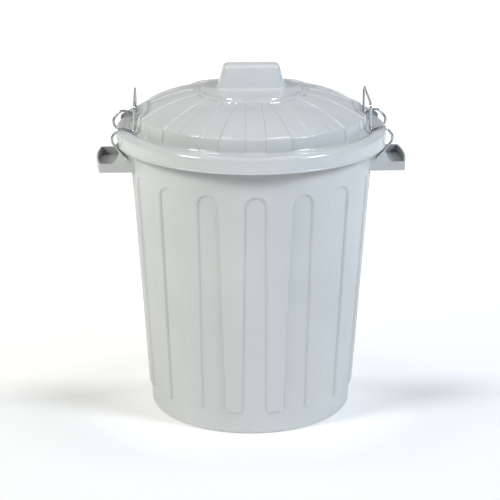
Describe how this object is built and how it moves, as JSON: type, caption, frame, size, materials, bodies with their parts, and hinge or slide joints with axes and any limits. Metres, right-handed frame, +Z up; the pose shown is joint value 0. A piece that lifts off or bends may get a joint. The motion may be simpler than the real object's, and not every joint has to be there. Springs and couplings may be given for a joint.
{
  "type": "lidded storage bin",
  "caption": "Round tapered fluted plastic bin with a domed clip-on lid, a block knob, tray handles at the sides and swinging wire clips",
  "frame": {"origin": "middle of the bin's base, on the floor", "axes": "+Z up, -Y the front, the clips and handles at -X and +X"},
  "size_m": [0.498, 0.4392, 0.5714],
  "materials": {
    "bin_plastic": "satin moulded polypropylene, light cool grey",
    "lid_plastic": "glossy moulded polypropylene, light cool grey",
    "clip_wire": "bright zinc-plated spring steel wire"
  },
  "bodies": {
    "bin": {"bin_body": "bin_plastic", "handle_left": "bin_plastic", "handle_right": "bin_plastic"},
    "lid": {"lid": "lid_plastic"},
    "clip_left": {"clip_left": "clip_wire"},
    "clip_right": {"clip_right": "clip_wire"}
  },
  "joints": [
    {"name": "lid_lift", "type": "slide", "parent": "bin", "child": "lid", "axis": [0, 0, 1], "range_m": [0, 0.034]},
    {"name": "clip_left_swing", "type": "hinge", "parent": "bin", "child": "clip_left", "pos_m": [-0.1993, 0, 0.43], "axis": [0, -1, 0], "range_deg": [0, 155]},
    {"name": "clip_right_swing", "type": "hinge", "parent": "bin", "child": "clip_right", "pos_m": [0.1993, 0, 0.43], "axis": [0, 1, 0], "range_deg": [0, 155]}
  ],
  "couplings": [
    {"joint": "clip_left_swing", "follows": "lid_lift", "rad_per_m": 79.5},
    {"joint": "clip_right_swing", "follows": "lid_lift", "rad_per_m": 79.5}
  ]
}
